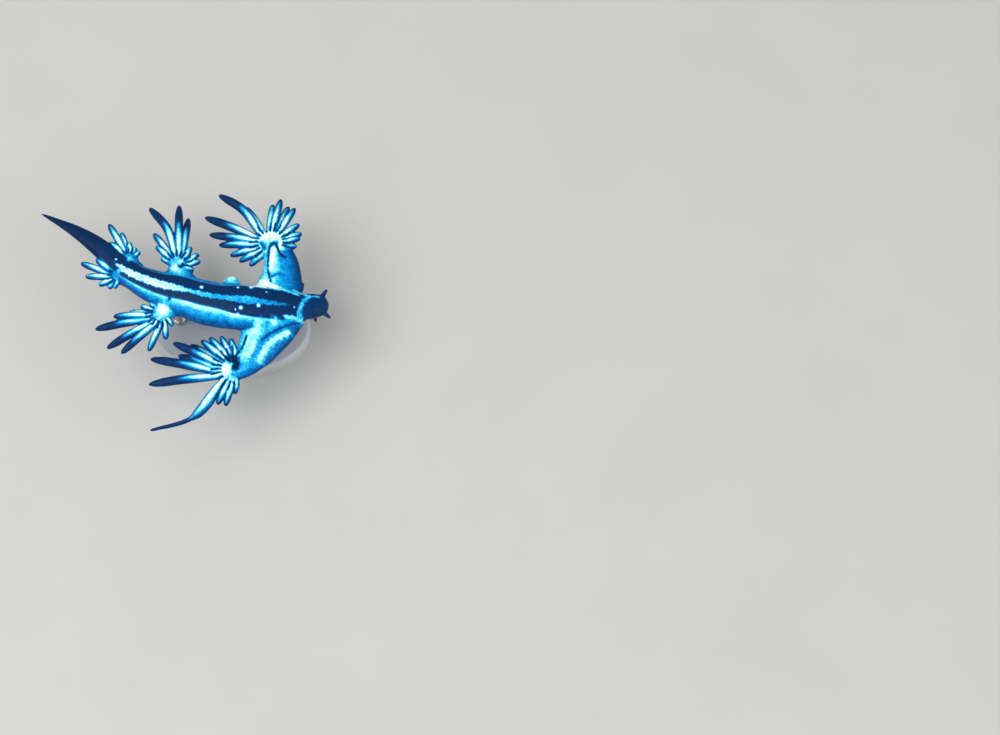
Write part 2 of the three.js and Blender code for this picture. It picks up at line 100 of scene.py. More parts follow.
# Arms: path, half width and half depth by share of the length, pad, and one row of cerata round its rim.
# Each of the cerata is [bearing of its tip, reach from the pad's middle, sideways bow].
ARMS = {
    "right_front": {
        "nodes": ["arm_right_front", "cerata_right_front"],
        "path": [[7.8, 0.2, -0.2], [7.15, 2.4, -0.2], [7.25, 4.1, 0], [7, 5.9, 0.15], [6.3, 7.3, 0.3],
                 [5.75, 8.14, 0.3], [5.3, 9.1, 0.3]],
        "half_width": [[0, 0], [0.08, 2.7], [0.23, 3.15], [0.33, 2.8], [0.43, 2.5], [0.52, 2.35],
                       [0.65, 2.05], [0.8, 1.6], [0.93, 1.25], [1, 0]],
        "half_depth": [[0, 0], [0.08, 1.5], [0.3, 1.5], [0.6, 1.05], [0.85, 0.8], [0.95, 0.6], [1, 0]],
        "pad": [5.75, 8.14, 0.3], "rim": 1.45, "row": [-28, 238], "face": 110, "tilt": -7,
        "cerata": [
            [-21, 3], [-6, 3.5], [8, 4], [23, 4.4], [38, 4.7], [60, 6.1], [71, 6.4], [80, 6.6], [90, 6.2],
            [122, 6.9], [135, 10.1, -0.07], [152, 10.3], [171, 8.3], [181, 6.9], [195, 5.6], [216, 5],
            [229, 4.2],
        ],
    },
    "left_front": {
        "nodes": ["arm_left_front", "cerata_left_front"],
        "path": [[8, -0.6, -0.3], [6.5, -3, -0.4], [5, -5.2, -0.6], [3.75, -7.2, -0.8], [2.6, -8.6, -0.9],
                 [1.55, -9.14, -0.9], [0.55, -9, -0.9]],
        "half_width": [[0, 0], [0.08, 3.1], [0.25, 3.2], [0.45, 2.95], [0.6, 2.6], [0.7, 2.15], [0.82, 1.65],
                       [0.95, 1.15], [1, 0]],
        "half_depth": [[0, 0], [0.08, 1.5], [0.3, 1.5], [0.6, 1.15], [0.85, 0.8], [0.95, 0.6], [1, 0]],
        "pad": [1.55, -9.14, -0.9], "rim": 1.6, "row": [84, 282], "face": 190, "tilt": -8,
        "cerata": [
            [100, 4.3], [113, 5.4], [127, 5.9], [138, 6.2], [146, 7.4], [155, 9.1], [162, 8], [168, 11.6],
            [190, 11.3], [213, 13.3, 0.15], [246, 5.3], [258, 5.2], [270, 3.3],
        ],
    },
    "right_middle": {
        "nodes": ["arm_right_middle"],
        "path": [[-5.2, 1.2, -0.1], [-5.7, 2.9, 0], [-6.1, 4.2, 0.1], [-6.35, 5.1, 0.2], [-6.5, 6, 0.2]],
        "half_width": [[0, 0], [0.1, 1.7], [0.4, 1.6], [0.65, 1.35], [0.85, 1.15], [0.95, 0.8], [1, 0]],
        "half_depth": [[0, 0], [0.1, 1.1], [0.4, 1], [0.65, 0.8], [0.9, 0.6], [1, 0]],
        "pad": [-6.35, 5.1, 0.2], "rim": 1, "row": [-24, 162], "face": 95, "tilt": -8,
        "cerata": [
            [-20, 2.4], [12, 3.1], [35, 3.3], [58, 3.2], [83, 7.7], [92, 9.2], [116, 9.6, -0.08], [124, 6.4],
            [137, 4.1], [152, 2.6],
        ],
    },
    "left_middle": {
        "nodes": ["arm_left_middle"],
        "path": [[-6.7, 1.4, -0.1], [-7.2, 0, -0.1], [-7.7, -1, -0.1], [-8.1, -1.6, -0.1],
                 [-8.5, -2.4, -0.1]],
        "half_width": [[0, 0], [0.1, 1.7], [0.4, 1.65], [0.65, 1.4], [0.85, 1.15], [0.95, 0.8], [1, 0]],
        "half_depth": [[0, 0], [0.1, 1.1], [0.4, 1], [0.65, 0.8], [0.9, 0.6], [1, 0]],
        "pad": [-8.1, -1.6, -0.1], "rim": 1.1, "row": [142, 312], "face": 220, "tilt": -7,
        "cerata": [
            [140, 2.2], [160, 3.1], [174, 4.6], [184, 6.4], [191, 9], [211, 8.4], [228, 7.6], [251, 5.2],
            [280, 3.8], [309, 2.4],
        ],
    },
    "right_rear": {
        "nodes": ["cerata_right_rear"],
        "path": [[-12.3, 4.6, 0], [-12.6, 5.5, 0.05], [-12.8, 6.2, 0.1], [-12.95, 6.8, 0.1]],
        "half_width": [[0, 0], [0.15, 1.15], [0.5, 1.1], [0.8, 0.85], [0.95, 0.5], [1, 0]],
        "half_depth": [[0, 0], [0.15, 0.75], [0.5, 0.7], [0.8, 0.55], [1, 0]],
        "pad": [-12.75, 6.1, 0.1], "rim": 0.65, "row": [30, 145], "face": 110, "tilt": -5,
        "cerata": [[38, 1.8], [68, 1.9], [92, 2.4], [108, 4.4], [120, 6], [138, 3.6]],
    },
    "left_rear": {
        "nodes": ["cerata_left_rear"],
        "path": [[-13.3, 4.8, 0], [-13.8, 4.1, -0.05], [-14.15, 3.5, -0.1], [-14.5, 2.95, -0.1]],
        "half_width": [[0, 0], [0.15, 1.15], [0.5, 1.1], [0.8, 0.85], [0.95, 0.5], [1, 0]],
        "half_depth": [[0, 0], [0.15, 0.75], [0.5, 0.7], [0.8, 0.55], [1, 0]],
        "pad": [-14.1, 3.6, -0.1], "rim": 0.7, "row": [140, 266], "face": 190, "tilt": -6,
        "cerata": [[141, 3.9], [155, 5.7], [177, 4.4], [206, 2.8], [230, 2], [257, 1.8]],
    },
}
# One of the cerata is a spindle: thickness grows with its reach, and this is its share along the length.
CERAS_THICKNESS = 0.7
CERAS_THICKNESS_PER_REACH = 0.05
CERAS_MOST_THICKNESS = 1.24
CERAS_PROFILE = [
    [0, 0], [0.04, 0.66], [0.2, 0.78], [0.5, 1], [0.78, 0.94], [0.91, 0.7], [0.975, 0.4], [1, 0],
]
# The longest of them end in a thin whip.
WHIP_REACH = 12
WHIP_THICKNESS = 1.55
WHIP_PROFILE = [
    [0, 0], [0.04, 0.55], [0.18, 0.8], [0.34, 1], [0.47, 0.84], [0.58, 0.42], [0.8, 0.35], [0.96, 0.26],
    [1, 0],
]
# It starts inside the pad, leaves the rim a little towards its tip's bearing, and arches over its length.
ROOT_SINK = 0.55
RIM_REACH = 1.3
RIM_TURN = 0.4
CERAS_ARCH = 0.03
# Neighbours lie a little above and below each other.
CERAS_WAVE_DEGREES = 7
CERAS_WAVE_STEP = 2.4
RIM_LIFT_PER_DEGREE = 0.02
BEAD_RADIUS = 0.3
BEAD_RADIUS_PER_REACH = 0.012
BEAD_RISE = 0.24
BEADED_ARMS = ("right_front", "left_front", "right_middle", "left_middle")

# The skin's field
VOXEL = 0.137
FIELD_MARGIN = 0.9
FAR = 1.0
SAMPLES_PER_MM = 5
LEAST_SAMPLES = 12
CURVE_STEPS = 60
LINE_STEPS = 12
LEAST_HALF = 1e-3
NEAR_CENTRE = 0.3  # share of the way out from a limb's centreline, within which distances are simpler
MOST_BULGE = 1.2
JOIN_MARGIN = 0.35
LINE_REACH = 3  # times a line's width
CHUNK = 150_000
BELLY_TOP = 3.0

# Creases, ridges and painted glints of the belly, as places seen from above. A crease has a depth, a ridge a
# negative one. The tone runs from 0, navy, through 0.5, azure, to 1, white.
LINES = [
    # Right front arm: the ridge that ends in the pad, the crease round it, and the pale web at its root
    {"path": [(5.95, 2.4), (5.75, 3.1), (5.6, 3.8), (5.52, 5.2), (5.55, 6.6), (5.7, 7.4), (6.05, 7.9),
              (6.45, 7.9), (6.65, 7.3), (6.85, 6.8), (7.2, 6.25), (7.7, 5.95)], "width": 0.14, "depth": 0.2,
     "tone": 0.02},
    {"path": [(6.05, 3.1), (6.8, 3.45), (7.6, 3.3)], "width": 0.2, "depth": 0.08, "tone": 0.36},
    {"path": [(5.2, 3.6), (5.05, 4.8), (5.05, 6)], "width": 0.22, "depth": -0.05, "tone": 0.72},
    {"path": [(5.9, 4.2), (5.95, 5.4), (6.1, 6.4), (6.2, 7)], "width": 0.3, "depth": -0.1, "tone": 1.05},
    {"path": [(4, 1.8), (5.3, 1.9), (6.4, 1.55), (7, 1.25)], "width": 0.3, "depth": 0, "tone": 1.05},
    {"path": [(7, 1.25), (8.3, 0.8)], "width": 0.16, "depth": 0, "tone": 0.8},
    {"path": [(4.9, 2.3), (5.4, 2.2)], "width": 0.5, "depth": 0, "tone": 1.1},
    # Left front arm: a groove with two creases, two ridges, a fold, and the pit in front of the pad, which is
    # sunk and painted navy as shade
    {"path": [(10.6, -2.9), (9.4, -3.2), (7.6, -4), (6.1, -4.85), (5.05, -5.7), (4.3, -6.9), (3.8, -8.1)],
     "width": 0.34, "depth": 0.14, "tone": 0.46},
    {"path": [(10.4, -2.95), (9.2, -3.3), (7.5, -4), (6.1, -4.75), (5, -5.6)], "width": 0.13, "depth": 0.12,
     "tone": 0.18},
    {"path": [(9.6, -3.6), (8.4, -4.05), (7, -4.8), (5.6, -5.85), (4.9, -6.6)], "width": 0.12, "depth": 0.08,
     "tone": 0.3},
    {"path": [(8.3, -4.6), (6.9, -5.4), (5.8, -6.4), (5.2, -7.3), (4.8, -8.2)], "width": 0.42, "depth": -0.12,
     "tone": 0.9},
    {"path": [(4.5, -3.5), (4.3, -4.9), (3.7, -6.5), (3.1, -7.7)], "width": 0.42, "depth": -0.08,
     "tone": 0.88},
    {"path": [(2.95, -4.9), (2.65, -5.9), (2.2, -6.7), (1.75, -7.3)], "width": 0.14, "depth": 0.14,
     "tone": 0.06},
    # The pit: painted shade, navy for the shadow between the fan and the arm
    {"path": [(0.75, -7.75), (1.5, -7.85), (1.75, -8.5), (1.6, -9.05)], "width": 0.44, "depth": 0.25,
     "tone": 0.0, "base": -1},
    # Head: the groove across the neck and a pale line to each side of it
    {"path": [(9, 1.1), (9.9, 0.85), (10.6, 0.55), (11.2, 0.35), (12.2, 0.4)], "width": 0.15, "depth": -0.03,
     "tone": 0.7},
    {"path": [(10.95, 0.3), (10.3, -0.5), (9.95, -1.4), (9.75, -2.1), (9.7, -2.7)], "width": 0.25,
     "depth": 0.12, "tone": 0.68},
    {"path": [(8, -2.75), (9.4, -2.8), (10.9, -2.75)], "width": 0.2, "depth": -0.03, "tone": 0.8},
    # Middle pads: a dent beside each, sunk and painted dark as shade between the pad and its cerata
    {"path": [(-5.95, 4.75), (-5.6, 5)], "width": 0.24, "depth": 0.25, "tone": 0.08},
    {"path": [(-7.11, -0.13)], "width": 0.22, "depth": 0.15, "tone": 0.12},
]
# Painted highlights of the belly: small white dots that stand for light glinting on the wet skin, as place
# and width
PAINTED_GLINT_TONE = 1.25
PAINTED_GLINTS = [
    ((-2.92, 1.3), 0.2), ((1.81, 1.16), 0.12), ((3.54, 1.35), 0.28), ((5.54, 0.51), 0.1), ((2.3, -1.7), 0.22),
    ((4.57, -1.43), 0.2), ((9.17, -1.48), 0.08), ((1.61, -1.92), 0.09), ((1.88, -2.5), 0.15),
    ((-14.32, 5.6), 0.13),
]
# Between neighbouring roots the skin is dark and sunk, from and to shares of the rim's radius.
GAPS = {"from": 1.15, "to": 1.9, "width": 0.12, "depth": 0.16, "tone": 0.1}
# The roots' inner ends stand up as a pale ring round the pad, and the pad is hollow inside it.
RING = {"arm": "right_front", "share": 0.92, "places": 12, "width": 0.3, "depth": -0.16, "tone": 1.1}
HOLLOWS = [{"path": [(4.6, 8.1), (4.8, 7.5), (5.05, 7.2)], "width": 0.26, "depth": 0.2, "tone": 0.36}]


# Curves and limbs
def smooth_value(stops, place):
    """A smooth value between stops [place, value], with the slope at each stop set by its neighbours."""
    at = np.array([stop[0] for stop in stops], float)
    value = np.array([stop[1] for stop in stops], float)
    rise = np.diff(value) / np.diff(at)
    slope = np.empty_like(value)
    slope[0], slope[-1] = rise[0], rise[-1]
    before, after = rise[:-1], rise[1:]
    total = np.where(before * after > 0, before + after, 1)
    slope[1:-1] = np.where(before * after > 0, 2 * before * after / total, 0)
    place = np.clip(place, at[0], at[-1])
    i = np.clip(np.searchsorted(at, place, side="right") - 1, 0, len(at) - 2)
    span = at[i + 1] - at[i]
    s = (place - at[i]) / span
    ends = value[i] * (1 + 2 * s) * (1 - s) ** 2 + value[i + 1] * s * s * (3 - 2 * s)
    return ends + span * (slope[i] * s * (1 - s) ** 2 - slope[i + 1] * s * s * (1 - s))


def catmull_rom(points, steps):
    """Points along a centripetal Catmull-Rom curve, with a number of steps between each two points."""
    points = np.array(points, float)
    first = 2 * points[0] - points[1]
    last = 2 * points[-1] - points[-2]
    points = np.vstack([first, points, last])
    found = []
    for p0, p1, p2, p3 in zip(points, points[1:], points[2:], points[3:]):
        gap0, gap1, gap2 = (math.sqrt(np.linalg.norm(b - a)) for a, b in ((p0, p1), (p1, p2), (p2, p3)))
        start = ((p1 - p0) / gap0 - (p2 - p0) / (gap0 + gap1) + (p2 - p1) / gap1) * gap1
        end = ((p2 - p1) / gap1 - (p3 - p1) / (gap1 + gap2) + (p3 - p2) / gap2) * gap1
        t = np.linspace(0, 1, steps, endpoint=False)[:, None]
        cube = 2 * p1 - 2 * p2 + start + end
        square = -3 * p1 + 3 * p2 - 2 * start - end
        found.append(p1 + start * t + square * t**2 + cube * t**3)
    return np.vstack([*found, points[-2:-1]])


def unit(vectors):
    return vectors / np.linalg.norm(vectors, axis=-1, keepdims=True)


class Limb:
    """A round or oval limb along a curve, with a half width and half depth for each share of its length."""

    def __init__(self, path, half_width, half_depth, flatness=0.0):
        dense = catmull_rom(path, CURVE_STEPS)
        travelled = np.concatenate([[0], np.cumsum(np.linalg.norm(np.diff(dense, axis=0), axis=1))])
        self.length = travelled[-1]
        count = max(LEAST_SAMPLES, round(self.length * SAMPLES_PER_MM))
        self.share = np.linspace(0, 1, count)
        place = self.share * self.length
        self.centre = np.stack([np.interp(place, travelled, dense[:, k]) for k in range(3)], axis=1)
        self.along = unit(np.gradient(self.centre, axis=0))
        self.side = unit(np.cross(UP, self.along))
        self.rise = np.cross(self.along, self.side)
        self.half_width = np.maximum(half_width(self.share), LEAST_HALF)
        self.half_depth = np.maximum(half_depth(self.share), LEAST_HALF)
        self.flatness = flatness
        middle = (self.half_width + self.half_depth) / 2
        self.slope = np.gradient(middle, place)

    def box(self, margin):
        reach = np.maximum(self.half_width, self.half_depth)[:, None] + margin
        return (self.centre - reach).min(0), (self.centre + reach).max(0)

    def measure(self, points):
        """For each point: signed distance from the surface, share of the length, and its place across and up,
        where 1 is the surface."""
        found = [self._measure(points[i:i + CHUNK]) for i in range(0, len(points), CHUNK)]
        return [np.concatenate(part) for part in zip(*found)]

    def _measure(self, points):
        squares = (self.centre**2).sum(1) - 2 * points @ self.centre.T
        nearest = squares.argmin(1)
        offset = ((points - self.centre[nearest]) * self.along[nearest]).sum(1)
        step = self.length / (len(self.share) - 1)
        place = nearest * step + offset
        kept = np.clip(place, 0, self.length)
        beyond = place - kept
        position = kept / step
        low = np.minimum(position.astype(int), len(self.share) - 2)
        part = (position - low)[:, None]

        def between(table):
            return table[low] * (1 - part) + table[low + 1] * part

        away = points - between(self.centre)
        sideways = (away * between(self.side)).sum(1)
        upwards = (away * between(self.rise)).sum(1)
        part = part[:, 0]
        width = between(self.half_width)
        depth = between(self.half_depth)
        across = sideways / width
        lift = upwards / depth
        bulge = np.where(lift > 0, np.minimum(lift, MOST_BULGE), 0)
        rounded = lift + self.flatness * bulge**3 + 3 * self.flatness**2 * bulge**5
        ratio = np.sqrt(across**2 + rounded**2)
        steepness = np.sqrt((across / width) ** 2 + (rounded / depth) ** 2)
        least = np.minimum(width, depth)
        outer = ratio * (ratio - 1) / np.maximum(steepness, 1e-6)
        distance = np.where(ratio > NEAR_CENTRE, outer, (ratio - 1) * least)
        distance = distance / np.sqrt(1 + between(self.slope) ** 2)
        out = np.sqrt(beyond**2 + sideways**2 + upwards**2)
        return np.where(beyond != 0, out, distance), kept / self.length, across, lift


def raised(points):
    return [[x, y, FLOAT_HEIGHT + z] for x, y, z in points]


def profile(stops, scale=1.0):
    return lambda share: scale * smooth_value(stops, share)


BODY_LENGTH = HALF_WIDTH[-1][0]


def trunk_limb():
    return Limb(
        raised(SPINE),
        lambda share: smooth_value(HALF_WIDTH, share * BODY_LENGTH),
        lambda share: smooth_value(HALF_HEIGHT, share * BODY_LENGTH),
        BELLY_FLATNESS,
    )


def at_distance(limb, distance):
    """The centre, along, side and rise of the trunk at a distance from the snout."""
    share = distance / BODY_LENGTH
    tables = (limb.centre, limb.along, limb.side, limb.rise)
    return [np.array([np.interp(share, limb.share, t[:, k]) for k in range(3)]) for t in tables]


def foot_limb(trunk):
    length = FOOT["end"] - FOOT["start"]
    path = []
    for i in range(FOOT_PLACES + 1):
        distance = FOOT["start"] + length * i / FOOT_PLACES
        centre, _, side, _ = at_distance(trunk, distance)
        belly = smooth_value(HALF_HEIGHT, distance) * (1 - BELLY_FLATNESS) - FOOT["sunk"]
        right = smooth_value(FOOT["to_the_right"], distance - FOOT["start"])
        path.append(centre + UP * belly - side * right)

    def half_width(share):
        return smooth_value(FOOT["half_width"], share * length)

    def half_depth(share):
        return FOOT["half_depth"] * np.minimum(1, half_width(share))

    return Limb(path, half_width, half_depth)


def papilla_limb():
    wide, deep = (profile(PAPILLA_PROFILE, PAPILLA[half]) for half in ("half_width", "half_depth"))
    return Limb(raised(PAPILLA["path"]), wide, deep)


def feeler_limb(trunk, shape, hand):
    centre, along, side, rise = at_distance(trunk, shape["along"])
    out, up = shape["out"], shape["up"]
    forward, outward, upward = shape["reach"]
    root = centre + side * hand * out / 2 + rise * up / 2
    tip = centre + side * hand * (out + outward) + rise * (up + upward) - along * forward
    half = profile(FEELER_PROFILE, shape["thick"] / 2)
    return Limb([root, tip], half, half)


def arm_limb(arm):
    return Limb(raised(arm["path"]), profile(arm["half_width"]), profile(arm["half_depth"]))


def ceras_places(arm, index):
    """The root, rim, middle and tip that a ceras passes through."""
    bearing, reach, *bow = arm["cerata"][index]
    bow = bow[0] if bow else 0
    row_from, row_to = arm["row"]
    root_bearing = row_from + (row_to - row_from) * index / (len(arm["cerata"]) - 1)
    wave = CERAS_WAVE_DEGREES * math.sin(CERAS_WAVE_STEP * index + arm["face"])
    tilt = arm["tilt"] * math.cos(math.radians(bearing - arm["face"])) + wave
    pad = np.array(raised([arm["pad"]])[0])

    def ray(degrees, far, height):
        return pad + [far * math.cos(math.radians(degrees)), far * math.sin(math.radians(degrees)), height]

    root = ray(root_bearing, ROOT_SINK * arm["rim"], 0)
    rim_bearing = root_bearing + RIM_TURN * (bearing - root_bearing)
    rim = ray(rim_bearing, RIM_REACH * arm["rim"], RIM_LIFT_PER_DEGREE * wave)
    tip = ray(bearing, reach, reach * math.sin(math.radians(tilt)))
    middle = (rim + tip) / 2
    middle[0] -= bow * reach * math.sin(math.radians(bearing))
    middle[1] += bow * reach * math.cos(math.radians(bearing))
    middle[2] += CERAS_ARCH * reach
    return root, rim, middle, tip


def ceras_limb(arm, index):
    reach = arm["cerata"][index][1]
    if reach > WHIP_REACH:
        half = profile(WHIP_PROFILE, WHIP_THICKNESS / 2)
    else:
        thick = min(CERAS_THICKNESS + CERAS_THICKNESS_PER_REACH * reach, CERAS_MOST_THICKNESS)
        half = profile(CERAS_PROFILE, thick / 2)
    return Limb(ceras_places(arm, index), half, half)


def root_bead(arm, index):
    """The small bead that stands on the belly side of each root: its centre and radius."""
    rim = ceras_places(arm, index)[1]
    reach = arm["cerata"][index][1]
    return rim + UP * BEAD_RISE, BEAD_RADIUS + BEAD_RADIUS_PER_REACH * reach


def around_pad(arm, bearing, share):
    """A place round a pad, seen from above, at a share of its rim's radius."""
    turn = math.radians(bearing)
    x, y, _ = arm["pad"]
    return x + share * arm["rim"] * math.cos(turn), y + share * arm["rim"] * math.sin(turn)


def drawn(path, look, base=0):
    """A line with the width, depth and tone of a look."""
    return {"path": path, "width": look["width"], "depth": look["depth"], "tone": look["tone"], "base": base}


def root_gaps(arm):
    """The sunk lines between the roots of neighbouring cerata."""
    rims = [ceras_places(arm, index)[1] for index in range(len(arm["cerata"]))]
    gaps = []
    for first, second in zip(rims, rims[1:]):
        away = (first + second) / 2 - raised([arm["pad"]])[0]
        bearing = math.degrees(math.atan2(away[1], away[0]))
        ends = [around_pad(arm, bearing, GAPS[end]) for end in ("from", "to")]
        gaps.append(drawn(ends, GAPS, arm["pad"][2]))
    return gaps


def pad_ring():
    arm = ARMS[RING["arm"]]
    bearings = np.linspace(*arm["row"], RING["places"])
    path = [around_pad(arm, bearing, RING["share"]) for bearing in bearings]
    return drawn(path, RING)


def all_lines():
    gaps = [gap for arm in ARMS.values() for gap in root_gaps(arm)]
    return [pad_ring(), *HOLLOWS, *gaps, *LINES]


# The field: a grid of signed distances to the skin
class Field:
    def __init__(self, low, high, voxel):
        self.low = low
        self.voxel = voxel
        self.shape = np.ceil((high - low) / voxel).astype(int) + 1
        self.values = np.full(self.shape, FAR, np.float32)

    def around(self, low, high):
        """The slices of the grid inside a box, and its points as rows."""
        first = np.clip(np.floor((low - self.low) / self.voxel).astype(int), 0, self.shape)
        last = np.clip(np.ceil((high - self.low) / self.voxel).astype(int) + 1, 0, self.shape)
        axes = [self.low[k] + self.voxel * np.arange(first[k], last[k]) for k in range(3)]
        grid = np.stack(np.meshgrid(*axes, indexing="ij"), axis=-1)
        return tuple(slice(a, b) for a, b in zip(first, last)), grid.reshape(-1, 3)

    def join(self, limb, softness, margin=JOIN_MARGIN):
        """Joins a limb to the skin, with a fillet of that softness."""
        slices, points = self.around(*limb.box(margin))
        there = self.values[slices]
        distance = limb.measure(points)[0].reshape(there.shape)
        self.values[slices] = smooth_union(there, distance, softness)

    def absorb(self, other, softness):
        self.values = smooth_union(self.values, other.values, softness)

    def join_ball(self, centre, radius, softness):
        slices, points = self.around(centre - radius - softness, centre + radius + softness)
        there = self.values[slices]
        distance = np.linalg.norm(points - centre, axis=1).reshape(there.shape) - radius
        self.values[slices] = smooth_union(there, distance, softness)

    def draw(self, line):
        """Sinks a line into the belly side by its depth, or raises it where the depth is negative."""
        path = np.array(line["path"], float)
        reach = LINE_REACH * line["width"]
        low = np.array([*(path.min(0) - reach), FLOAT_HEIGHT + line.get("base", 0)])
        high = np.array([*(path.max(0) + reach), FLOAT_HEIGHT + BELLY_TOP])
        slices, points = self.around(low, high)
        sunk = line["depth"] * np.exp(-((away_from(path, points) / line["width"]) ** 2))
        self.values[slices] += sunk.reshape(self.values[slices].shape).astype(np.float32)

    def carve_mouth(self, trunk):
        """Lips round a small mouth at the front, towards the belly side."""
        centre, along, side, rise = at_distance(trunk, MOUTH["along"])
        centre = centre + rise * MOUTH["up"]
        slices, points = self.around(centre - MOUTH["reach"], centre + MOUTH["reach"])
        there = self.values[slices]
        x, y, z = (points - centre) @ side, (points - centre) @ rise, (points - centre) @ along
        wide, high, lip = MOUTH["half_width"], MOUTH["half_height"], MOUTH["lip"]
        around = np.hypot(x / (wide + lip), y / (high + lip)) - 1
        ring = (np.hypot(around, z / wide) - lip / wide) * wide
        hole = (np.sqrt((x / wide) ** 2 + (y / high) ** 2 + (z / MOUTH["depth"]) ** 2) - 1) * high
        lipped = smooth_union(there, ring.reshape(there.shape), MOUTH["softness"])
        self.values[slices] = -smooth_union(-lipped, hole.reshape(there.shape), MOUTH["softness"])


def away_from(path, points):
    """Distances from points to a curve or a single place, all seen from above."""
    places = catmull_rom(path, LINE_STEPS) if len(path) > 1 else path
    return np.concatenate([
        np.sqrt(((points[i:i + CHUNK, None, :2] - places) ** 2).sum(2).min(1))
        for i in range(0, len(points), CHUNK)
    ])


def smooth_union(a, b, softness):
    share = np.clip(0.5 + 0.5 * (a - b) / softness, 0, 1)
    return (a * (1 - share) + b * share - softness * share * (1 - share)).astype(np.float32)


BODY_SOFTNESS = 1.0
PAPILLA_SOFTNESS = 0.5
FOOT_SOFTNESS = 0.12
FEELER_SOFTNESS = 0.25
ROOT_SOFTNESS = 0.35
CERAS_SOFTNESS = 0.1


def skin_field(limbs, voxel):
    boxes = [limb.box(FIELD_MARGIN) for limb in limbs["all"]]
    low = np.min([box[0] for box in boxes], axis=0)
    high = np.max([box[1] for box in boxes], axis=0)
    body = Field(low, high, voxel)
    body.join(limbs["trunk"], BODY_SOFTNESS, FIELD_MARGIN)
    for arm in limbs["arms"].values():
        body.join(arm, BODY_SOFTNESS, FIELD_MARGIN)
    body.join(limbs["papilla"], PAPILLA_SOFTNESS, FIELD_MARGIN)
    body.join(limbs["foot"], FOOT_SOFTNESS)
    for feeler in limbs["feelers"]:
        body.join(feeler, FEELER_SOFTNESS)
    fans = Field(low, high, voxel)
    for rows in limbs["cerata"].values():
        for ceras in rows:
            fans.join(ceras, CERAS_SOFTNESS)
    for name in BEADED_ARMS:
        for index in range(len(ARMS[name]["cerata"])):
            fans.join_ball(*root_bead(ARMS[name], index), CERAS_SOFTNESS)
    body.absorb(fans, ROOT_SOFTNESS)
    for line in all_lines():
        body.draw(line)
    body.carve_mouth(limbs["trunk"])
    return body


def build_limbs():
    trunk = trunk_limb()
    feelers = [feeler_limb(trunk, shape, hand) for shape in FEELERS.values() for hand in (-1, 1)]
    arms = {name: arm_limb(arm) for name, arm in ARMS.items()}
    cerata = {name: [ceras_limb(arm, i) for i in range(len(arm["cerata"]))] for name, arm in ARMS.items()}
    limbs = {"trunk": trunk, "foot": foot_limb(trunk), "papilla": papilla_limb(), "feelers": feelers}
    limbs["arms"] = arms
    limbs["cerata"] = cerata
    limbs["all"] = [trunk, *feelers, *arms.values(), *(c for row in cerata.values() for c in row)]
    return limbs


def mesh_of(field, name):
    """The field's zero surface as a Blender mesh in metres, and its points in millimetres."""
    grid = openvdb.FloatGrid(FAR)
    grid.copyFromArray(np.ascontiguousarray(field.values))
    points, quads = grid.convertToQuads(isovalue=0.0)
    points = field.low + np.asarray(points, float) * field.voxel
    mesh = bpy.data.meshes.new(name)
    mesh.from_pydata((points * MM).tolist(), [], np.asarray(quads).tolist())
    mesh.update()
    return mesh, points


# Colour: each vertex takes its tone from its place on the limbs nearest to it
STRIPE_HALF_WIDTH = [
    [5.1, 0], [5.6, 0.16], [7.2, 0.28], [9, 0.42], [10.6, 0.56], [12, 0.45], [13.5, 0.32], [15, 0.34],
    [16.8, 0.32], [18, 0.24], [19.6, 0.42], [22.3, 0.52], [26, 0.46], [27.6, 0.36], [28.4, 0.2], [28.9, 0],
]
STRIPE_TONE = [
    [5, 0.36], [8, 0.5], [11, 0.58], [14, 0.6], [17, 0.7], [18.5, 0.82], [21, 0.95], [28, 0.96], [28.6, 0.9],
    [29.3, 0.05],
]
STRIPE_TO_THE_LEFT = [[5, 0], [9, 0.08], [14, 0.14], [24, 0.2], [27, 0.32], [30, 0.36]]
BAND_TONE = 0.05
STRIPE_SOFTNESS = 0.09
RAGGED_WAVES = [(0.05, 5.1, 0.4), (0.045, 11.3, 2.0), (0.035, 23.7, 1.1)]
RAGGED_SHIFT = 1.7
# Beside the foot, from its edge at 0 to the animal's outline at 1: on each side, at the front and at the rear
FLANK_TONES = {
    "right": (
        [[0, 0.84], [0.3, 0.8], [0.7, 0.55], [1, 0.3]],
        [[0, 0.38], [0.3, 0.46], [0.7, 0.4], [1, 0.24]],
    ),
    "left": (
        [[0, 0.8], [0.12, 0.95], [0.3, 0.84], [0.5, 0.6], [0.75, 0.42], [1, 0.26]],
        [[0, 0.72], [0.22, 0.86], [0.42, 0.6], [0.65, 0.38], [1, 0.24]],
    ),
}
FLANK_CHANGES = {"right": (8, 14), "left": (18, 23)}
# Across the arms, from the animal's head side or tail side as their paths run
ARM_TONES = {
    "right_front": [
        [-1, 0.12], [-0.7, 0.28], [-0.35, 0.44], [0, 0.54], [0.15, 0.72], [0.3, 0.84], [0.45, 0.8],
        [0.6, 0.74], [0.8, 0.68], [1, 0.5],
    ],
    "left_front": [
        [-1, 0.5], [-0.75, 0.76], [-0.45, 0.86], [-0.2, 0.72], [0, 0.56], [0.35, 0.62], [0.6, 0.46],
        [0.85, 0.32], [1, 0.2],
    ],
    "right_middle": [[-1, 0.35], [-0.5, 0.6], [0, 0.75], [0.5, 0.6], [1, 0.4]],
    "left_middle": [[-1, 0.5], [-0.5, 0.7], [0, 0.85], [0.5, 0.75], [1, 0.45]],
    "right_rear": [[-1, 0.35], [0, 0.6], [1, 0.35]],
    "left_rear": [[-1, 0.35], [0, 0.6], [1, 0.35]],
}
CERAS_TONE = [[0, 1.05], [0.32, 0.98], [0.46, 0.8], [0.6, 0.56], [0.78, 0.38], [1, 0.2], [1.2, 0.12]]
